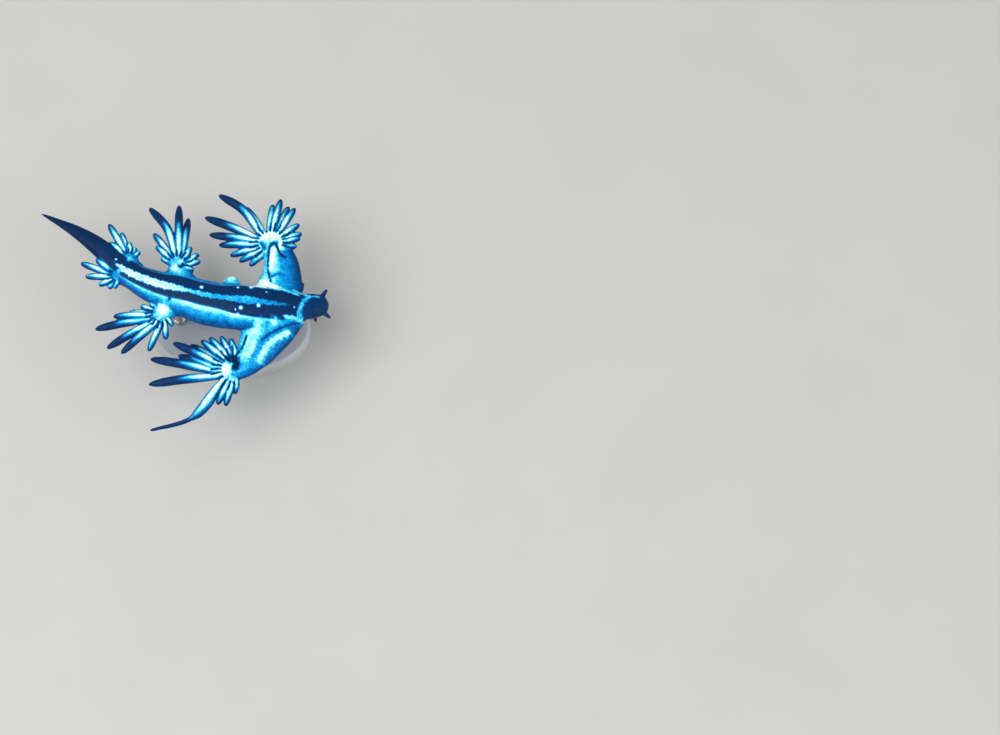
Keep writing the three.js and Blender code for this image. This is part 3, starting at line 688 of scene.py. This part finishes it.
# Where a ceras turns navy, as a share of its length, against its reach. Its stripe narrows and dims before.
DARK_TIP_STARTS = [[1.5, 0.98], [4, 0.94], [6.5, 0.88], [7.6, 0.72], [9, 0.64], [14, 0.58]]
NARROWS_FROM = 0.55
NARROWS_BY = 0.35
DIMS_TO = 0.7
TIP_EDGE = (-0.06, 0.05)
TIP_TONE = 0.08
HEAD_TONE = 0.08
TAIL_TONE = 0.02
TAIL_DARKENS = (29.6, 31.6)
FOOT_EDGE = (-0.15, -0.03)
HEAD_EDGE = (-0.1, 0.4)
LEAST_FLANK = 0.1
# The silver of the back begins at the sides, between two lifts from the centreline.
BACK_TONE = 0.45
BACK_EDGE = (-0.15, -0.65)
CERAS_BACK_EDGE = (0.05, -0.5)
CERAS_BACK_STRENGTH = 0.6
CERAS_BACK_DIMS = 0.8
CERAS_BACK_GAIN = 0.25
PAPILLA_TONE = 0.7


def step(low, high, value):
    part = np.clip((value - low) / (high - low), 0, 1)
    return part * part * (3 - 2 * part)


def mix(a, b, part):
    return a * (1 - part) + b * part


def ragged(place):
    """How far the stripe's edge strays at a place along the body."""
    return sum(size * np.sin(turns * place + start) for size, turns, start in RAGGED_WAVES)


def paint_foot(share, across, lift):
    place = FOOT["start"] + share * (FOOT["end"] - FOOT["start"])
    sideways = across * smooth_value(FOOT["half_width"], place - FOOT["start"])
    sideways = sideways - smooth_value(STRIPE_TO_THE_LEFT, place)
    stray = ragged(place + RAGGED_SHIFT * (sideways > 0))
    from_stripe = np.abs(sideways) - smooth_value(STRIPE_HALF_WIDTH, place) + stray
    stripe = smooth_value(STRIPE_TONE, place)
    tone = mix(stripe, BAND_TONE, step(-STRIPE_SOFTNESS, STRIPE_SOFTNESS, from_stripe))
    return tone, np.zeros(share.shape)


def paint_trunk(share, across, lift):
    place = share * BODY_LENGTH
    right = smooth_value(FOOT["to_the_right"], place - FOOT["start"])
    half_width = smooth_value(HALF_WIDTH, place)
    sideways = across * half_width + right
    foot_width = smooth_value(FOOT["half_width"], place - FOOT["start"])
    beside = np.abs(sideways) - foot_width
    flank_width = np.maximum(half_width + np.sign(sideways) * right - foot_width, LEAST_FLANK)
    out = np.clip(beside / flank_width, 0, 1)
    sides = {
        side: mix(smooth_value(front, out), smooth_value(rear, out), step(*FLANK_CHANGES[side], place))
        for side, (front, rear) in FLANK_TONES.items()
    }
    tone = np.where(sideways < 0, sides["right"], sides["left"])
    tone = mix(BAND_TONE, tone, step(*FOOT_EDGE, beside))
    tone = mix(HEAD_TONE, tone, step(*HEAD_EDGE, place - FOOT["start"]))
    tone = mix(tone, TAIL_TONE, step(*TAIL_DARKENS, place))
    back = step(*BACK_EDGE, lift)
    return mix(tone, BACK_TONE, back), back


def paint_arm(name):
    stops = ARM_TONES[name]

    def paint(share, across, lift):
        back = step(*BACK_EDGE, lift)
        return mix(smooth_value(stops, across), BACK_TONE, back), back

    return paint


def paint_ceras(reach):
    def paint(share, across, lift):
        dark = smooth_value(DARK_TIP_STARTS, reach)
        narrowing = step(NARROWS_FROM * dark, dark, share)
        stripe = smooth_value(CERAS_TONE, np.abs(across) + NARROWS_BY * narrowing)
        tone = mix(stripe, DIMS_TO * stripe, narrowing)
        tone = mix(tone, TIP_TONE, step(*TIP_EDGE, share - dark))
        back = step(*CERAS_BACK_EDGE, lift)
        underside = np.minimum(BACK_TONE * (1 - CERAS_BACK_DIMS * share), tone + CERAS_BACK_GAIN)
        return mix(tone, underside, back), CERAS_BACK_STRENGTH * back

    return paint


def paint_plain(tone):
    return lambda share, across, lift: (np.full(share.shape, tone), np.zeros(share.shape))


COAT_REACH = 1.2
COAT_SUNK = -0.4
LEAST_WEIGHT = 1e-9
COAT_BLEND = 0.07
BELLY_FACING = (0.05, 0.4)
BELLY_BELOW_AXIS = 1.5
GRAIN_SHIFT = 3  # between neighbouring cerata, so that no two have the same streaks
DRAWN_STRENGTH = 1.5
LINE_WAVES = np.array([[7.0, 2.5], [3.0, -5.5], [0, 0]])
LINE_UNEVENNESS = 0.35
PATCH_UNEVENNESS = 0.3
FOOT_STRENGTH = 60
FOOT_BLEND = 0.03


class Coat:
    """Tone, silver and grain at the skin's vertices. Every limb near a vertex counts, the nearest most."""

    def __init__(self, points, normals):
        self.points = points
        above = points[:, 2] > FLOAT_HEIGHT - BELLY_BELOW_AXIS
        self.belly = step(*BELLY_FACING, normals[:, 2]) * above
        self.total = np.full(len(points), LEAST_WEIGHT)
        self.gathered = np.zeros((len(points), 5))

    def add(self, limb, paint, offset=0, strength=1, blend=COAT_BLEND):
        low, high = limb.box(COAT_REACH)
        near = np.flatnonzero(((self.points > low) & (self.points < high)).all(1))
        distance, share, across, lift = limb.measure(self.points[near])
        tone, back = paint(share, across, lift)
        weight = strength * np.exp(-np.clip(distance, COAT_SUNK, COAT_REACH) / blend)
        grain = [share * limb.length, across, lift + offset]
        self.gathered[near] += weight[:, None] * np.stack([tone, back, *grain], axis=1)
        self.total[near] += weight

    def finish(self):
        self.tone, self.back, *grain = (self.gathered / self.total[:, None]).T
        self.grain = np.stack(grain, axis=1)

    def draw(self, path, width, tone, unevenness=0):
        across_and_up = self.points @ LINE_WAVES
        width = width * (1 + unevenness * np.sin(across_and_up[:, 0]) * np.sin(across_and_up[:, 1]))
        part = self.belly * np.exp(-((away_from(np.array(path, float), self.points) / width) ** 2))
        self.tone = mix(self.tone, tone, np.minimum(1, DRAWN_STRENGTH * part))

    def write(self, mesh):
        for name, values in (("tone", self.tone), ("back", self.back)):
            mesh.attributes.new(name, "FLOAT", "POINT").data.foreach_set("value", values.astype(np.float32))
        grain = mesh.attributes.new("grain", "FLOAT_VECTOR", "POINT")
        grain.data.foreach_set("vector", self.grain.astype(np.float32).ravel())


# White patches: place, radius and tone
PATCHES = [
    ((6, 8.75), 0.6, 1.02), ((5.2, 8.7), 0.4, 1.02), ((6.2, 6.9), 0.4, 1.0), ((7.25, 7.2), 0.4, 0.92),
    ((0.5, -9.1), 0.9, 1.15), ((6.6, -3.4), 0.5, 0.92), ((4.9, -3.4), 0.4, 0.84),
    ((-6.58, 4.39), 0.55, 1.0), ((-5.9, 5.4), 0.35, 0.9), ((-7.98, -1.3), 0.68, 1.02),
    ((0.8, 3.1), 0.5, 0.95), ((-12.6, 5.7), 0.3, 0.8), ((-13.9, 4), 0.3, 0.75),
]


def coat_of(mesh, points, limbs):
    normals = np.empty(len(points) * 3)
    mesh.vertices.foreach_get("normal", normals)
    coat = Coat(points, normals.reshape(-1, 3))
    coat.add(limbs["trunk"], paint_trunk)
    coat.add(limbs["foot"], paint_foot, strength=FOOT_STRENGTH, blend=FOOT_BLEND)
    coat.add(limbs["papilla"], paint_plain(PAPILLA_TONE))
    for feeler in limbs["feelers"]:
        coat.add(feeler, paint_plain(HEAD_TONE))
    for name, arm in limbs["arms"].items():
        coat.add(arm, paint_arm(name))
    for name, row in limbs["cerata"].items():
        for index, ceras in enumerate(row):
            coat.add(ceras, paint_ceras(ARMS[name]["cerata"][index][1]), GRAIN_SHIFT * index)
    coat.finish()
    for place, radius, tone in PATCHES:
        coat.draw([place], radius, tone, PATCH_UNEVENNESS)
    for line in all_lines():
        coat.draw(line["path"], line["width"], line["tone"], LINE_UNEVENNESS)
    # Painted glints: white dots of painted highlight on the belly
    for place, width in PAINTED_GLINTS:
        coat.draw([place], width, PAINTED_GLINT_TONE)
    coat.write(mesh)


# Materials
COLOUR_MIX_INPUTS = (0, 6, 7)
COLOUR_MIX_OUTPUT = 2
TONES = [
    (0.0, (7, 38, 76)), (0.12, (8, 58, 110)), (0.28, (4, 86, 156)), (0.44, (4, 134, 214)),
    (0.6, (14, 178, 238)), (0.75, (74, 226, 246)), (0.88, (160, 248, 252)), (1.0, (240, 254, 255)),
]
SILVERS = [(0.25, (40, 62, 92)), (0.5, (92, 122, 150)), (0.75, (176, 198, 212))]
SILVER_STRENGTH = 0.85
# The skin's unevenness: waves to a millimetre, and shares beside the streaks' share of 1
PATCH_SCALE, PATCH_SHARE = 1.3, 0.7
GRANULE_SCALE, GRANULE_SHARE = 6, 1.5
STREAK_SCALE, STREAK_STRETCH = 1.7, (0.7, 2.4, 1)
UNEVEN_MIDDLE = (PATCH_SHARE + GRANULE_SHARE + 1) / 2
TONE_VARIATION = 0.95
STEADY_TONE = 1.35  # a tone near 0 or near this doesn't vary


def linear(red, green, blue):
    """A colour given as a screen's 0 to 255 values, in the shader's linear scale."""
    values = [value / 255 for value in (red, green, blue)]
    return (*(v / 12.92 if v <= 0.04045 else ((v + 0.055) / 1.055) ** 2.4 for v in values), 1)


class Shader:
    """A material's node tree, with short calls for the nodes that are used here."""

    def __init__(self, name):
        self.material = bpy.data.materials.new(name)
        self.material.use_nodes = True
        self.tree = self.material.node_tree
        self.surface = self.tree.nodes["Principled BSDF"]

    def set(self, **values):
        for name, value in values.items():
            self.surface.inputs[name.replace("_", " ")].default_value = value

    def node(self, kind, *sources, **settings):
        made = self.tree.nodes.new(kind)
        for name, value in settings.items():
            setattr(made, name, value)
        for socket, source in zip(made.inputs, sources):
            self.feed(socket, source)
        return made

    def feed(self, socket, source):
        if isinstance(source, bpy.types.NodeSocket):
            self.tree.links.new(source, socket)
        elif source is not None:
            socket.default_value = source

    def math(self, operation, *sources):
        return self.node("ShaderNodeMath", *sources, operation=operation).outputs[0]

    def scaled(self, vector, scale):
        return self.node("ShaderNodeVectorMath", vector, scale, operation="MULTIPLY").outputs[0]

    def noise(self, vector, scale, detail=3.0):
        made = self.node("ShaderNodeTexNoise")
        self.feed(made.inputs["Vector"], vector)
        made.inputs["Scale"].default_value = scale
        made.inputs["Detail"].default_value = detail
        return made.outputs["Fac"]

    def attribute(self, name, output="Fac"):
        return self.node("ShaderNodeAttribute", attribute_name=name).outputs[output]

    def ramp(self, value, stops):
        made = self.node("ShaderNodeValToRGB", value)
        elements = made.color_ramp.elements
        while len(elements) < len(stops):
            elements.new(0.5)
        for element, (place, colour) in zip(elements, stops):
            element.position = place
            element.color = linear(*colour)
        return made.outputs["Color"]

    def blend(self, part, first, second):
        made = self.node("ShaderNodeMix", data_type="RGBA")
        for index, source in zip(COLOUR_MIX_INPUTS, (part, first, second)):
            self.feed(made.inputs[index], source)
        return made.outputs[COLOUR_MIX_OUTPUT]

    def bump(self, height, distance, strength):
        made = self.node("ShaderNodeBump")
        self.feed(made.inputs["Height"], height)
        made.inputs["Distance"].default_value = distance
        made.inputs["Strength"].default_value = strength
        self.feed(self.surface.inputs["Normal"], made.outputs["Normal"])


def skin_material():
    shader = Shader("sea_slug_skin")
    place = shader.scaled(shader.node("ShaderNodeTexCoord").outputs["Object"], (1 / MM, 1 / MM, 1 / MM))
    patches = shader.noise(place, PATCH_SCALE)
    granules = shader.noise(place, GRANULE_SCALE, detail=2)
    streaks = shader.noise(shader.scaled(shader.attribute("grain", "Vector"), STREAK_STRETCH), STREAK_SCALE)
    tone = shader.attribute("tone")
    coarse = shader.math("MULTIPLY_ADD", patches, PATCH_SHARE, streaks)
    uneven = shader.math("MULTIPLY_ADD", granules, GRANULE_SHARE, coarse)
    uneven = shader.math("SUBTRACT", uneven, UNEVEN_MIDDLE)
    amount = shader.math("MULTIPLY", tone, shader.math("SUBTRACT", STEADY_TONE, tone))
    varied = shader.math("MULTIPLY_ADD", uneven, shader.math("MULTIPLY", amount, TONE_VARIATION), tone)
    blue = shader.ramp(varied, TONES)
    silver = shader.ramp(shader.math("MULTIPLY_ADD", uneven, 0.8, 0.5), SILVERS)
    back = shader.math("MULTIPLY", shader.attribute("back"), SILVER_STRENGTH)
    shader.feed(shader.surface.inputs["Base Color"], shader.blend(back, blue, silver))
    shader.feed(shader.surface.inputs["Roughness"], shader.math("MULTIPLY_ADD", granules, 0.3, 0.25))
    shader.set(Specular_IOR_Level=0.06, Coat_Weight=0.03, Coat_Roughness=0.07)
    shader.bump(shader.math("ADD", granules, streaks), distance=0.00005, strength=0.7)
    return shader.material


def base_material():
    shader = Shader("satin_base")
    place = shader.node("ShaderNodeTexCoord").outputs["Object"]
    grain = shader.noise(place, scale=2500)
    cloud = shader.noise(place, scale=160)
    shade = shader.math("ADD", shader.math("MULTIPLY", grain, 0.3), shader.math("MULTIPLY", cloud, 0.7))
    colour = shader.ramp(shade, [(0.3, (184, 189, 194)), (0.7, (202, 206, 210))])
    shader.feed(shader.surface.inputs["Base Color"], colour)
    shader.feed(shader.surface.inputs["Roughness"], shader.math("MULTIPLY_ADD", grain, 0.2, 0.32))
    shader.bump(grain, distance=0.00001, strength=0.4)
    return shader.material


def steel_material():
    shader = Shader("brushed_steel")
    place = shader.node("ShaderNodeTexCoord").outputs["Object"]
    lines = shader.noise(shader.scaled(place, (600, 600, 14000)), scale=1)
    colour = shader.ramp(lines, [(0.3, (166, 170, 174)), (0.7, (206, 209, 212))])
    shader.feed(shader.surface.inputs["Base Color"], colour)
    shader.feed(shader.surface.inputs["Roughness"], shader.math("MULTIPLY_ADD", lines, 0.25, 0.18))
    shader.set(Metallic=1.0)
    shader.bump(lines, distance=0.000008, strength=0.5)
    return shader.material


# Pieces
def new_object(name, mesh, material):
    made = bpy.data.objects.new(name, mesh)
    bpy.context.scene.collection.objects.link(made)
    mesh.materials.append(material)
    mesh.shade_smooth()
    return made


def add_skin():
    limbs = build_limbs()
    field = skin_field(limbs, VOXEL)
    mesh, points = mesh_of(field, "blue_dragon_skin")
    coat_of(mesh, points, limbs)
    skin = new_object("blue_dragon_skin", mesh, skin_material())
    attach(skin, "root")
    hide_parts(*(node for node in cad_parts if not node.startswith("stand_")))


STAND = {
    "edge": 0.5, "foot_inset": 0.15, "foot_from": -80, "collar": 0.3, "collar_edge": 0.1,
    "collar_height": 0.3, "rod_sunk": 0.35,
}
PLAN_SIDES = 96
EDGE_STEPS = 7


def turned_form(name, outline, half_length, half_width, centre, material):
    """A form with an oval or round plan, whose outline is a list of [inset from the plan's edge, height]."""
    angles = np.linspace(0, 2 * math.pi, PLAN_SIDES, endpoint=False)
    rings = [
        np.stack([
            centre[0] + (half_length - inset) * np.cos(angles),
            centre[1] + (half_width - inset) * np.sin(angles),
            np.full(PLAN_SIDES, height),
        ], axis=1)
        for inset, height in outline
    ]
    faces = [list(range(PLAN_SIDES))[::-1]]
    for ring in range(len(rings) - 1):
        for side in range(PLAN_SIDES):
            here, after = ring * PLAN_SIDES + side, ring * PLAN_SIDES + (side + 1) % PLAN_SIDES
            faces.append([here, after, after + PLAN_SIDES, here + PLAN_SIDES])
    faces.append([(len(rings) - 1) * PLAN_SIDES + side for side in range(PLAN_SIDES)])
    mesh = bpy.data.meshes.new(name)
    mesh.from_pydata((np.vstack(rings) * MM).tolist(), [], faces)
    made = new_object(name, mesh, material)
    made.modifiers.new("even_shading", "WEIGHTED_NORMAL")
    return made


def rounded(inset, height, radius, first, last):
    """Points of a rounded edge between two angles, where 0 is straight out and 90 is straight up."""
    turns = np.radians(np.linspace(first, last, EDGE_STEPS))
    return [[inset + radius * (1 - math.cos(t)), height + radius * math.sin(t)] for t in turns]


def measures(box):
    """The middle and the sizes of a node's box, and the height of its top."""
    low, high = (np.array(corner) / MM for corner in box)
    return (low + high) / 2, high - low, high[2]


def add_base():
    """Adds the base and gives the height of its top."""
    centre, size, top = measures(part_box("stand_base"))
    inset, edge = STAND["foot_inset"], STAND["edge"]
    outline = [[inset, 0.0], *rounded(0, inset, inset, STAND["foot_from"], 0)]
    outline += rounded(0, top - edge, edge, 0, 90)
    base = turned_form("stand_base_plate", outline, size[0] / 2, size[1] / 2, centre, base_material())
    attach(base, "root")
    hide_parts("stand_base")
    return top


def add_rods(base_top):
    steel = steel_material()
    collar_top = base_top + STAND["collar_height"]
    collar, bevel = STAND["collar"], STAND["collar_edge"]
    collar_edge = rounded(0, collar_top - bevel, bevel, 0, 90)
    for node in ("stand_rod_front", "stand_rod_rear"):
        centre, size, rod_top = measures(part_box(node))
        radius = size[0] / 2
        outline = [[-collar, base_top]]
        outline += [[inset - collar, height] for inset, height in collar_edge]
        outline += [[0, collar_top], [0, rod_top + STAND["rod_sunk"]]]
        rod = turned_form(f"{node}_turned", outline, radius, radius, centre, steel)
        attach(rod, "root")
        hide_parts(node)


# Stage, in metres
FLOOR_HALF = 2.0
LIGHT_AIM = (0, 0, 0.01)
LIGHTS = {
    "key": {"place": (-0.25, -0.1, 0.45), "size": 0.45, "power": 2.3},
    "fill": {"place": (0.4, -0.2, 0.3), "size": 0.4, "power": 1.0},
}
SURROUNDINGS = {"colour": (1, 1, 1, 1), "strength": 0.38}
CAMERA = {"lens": 100, "sensor": 36, "place": (0.035739, -0.143126, 0.342525), "tilt": 22, "near": 0.01}


def floor_material():
    shader = Shader("floor")
    place = shader.node("ShaderNodeTexCoord").outputs["Object"]
    shader.feed(
        shader.surface.inputs["Base Color"],
        shader.ramp(shader.noise(place, 60), [(0.3, (198, 198, 195)), (0.7, (201, 201, 198))]),
    )
    shader.set(Roughness=0.75)
    return shader.material


def add_floor():
    corners = [(x * FLOOR_HALF, y * FLOOR_HALF, 0) for x, y in ((-1, -1), (1, -1), (1, 1), (-1, 1))]
    mesh = bpy.data.meshes.new("floor")
    mesh.from_pydata(corners, [], [(0, 1, 2, 3)])
    new_object("floor", mesh, floor_material())


def add_light(name, place, size, power):
    data = bpy.data.lights.new(name, "AREA")
    data.size = size
    data.energy = power
    made = bpy.data.objects.new(name, data)
    made.location = place
    made.rotation_euler = (Vector(LIGHT_AIM) - Vector(place)).to_track_quat("-Z", "Y").to_euler()
    bpy.context.scene.collection.objects.link(made)


def add_surroundings():
    world = bpy.data.worlds.new("studio")
    world.use_nodes = True
    background = world.node_tree.nodes["Background"]
    background.inputs["Color"].default_value = SURROUNDINGS["colour"]
    background.inputs["Strength"].default_value = SURROUNDINGS["strength"]
    bpy.context.scene.world = world
    bpy.context.scene.view_settings.view_transform = "Standard"


def add_camera():
    data = bpy.data.cameras.new("camera")
    data.lens = CAMERA["lens"]
    data.sensor_width = CAMERA["sensor"]
    data.clip_start = CAMERA["near"]
    camera = bpy.data.objects.new("camera", data)
    camera.location = CAMERA["place"]
    camera.rotation_euler = (math.radians(CAMERA["tilt"]), 0, 0)
    bpy.context.scene.collection.objects.link(camera)
    bpy.context.scene.camera = camera


add_skin()
add_rods(add_base())
add_floor()
for light, settings in LIGHTS.items():
    add_light(light, **settings)
add_surroundings()
add_camera()
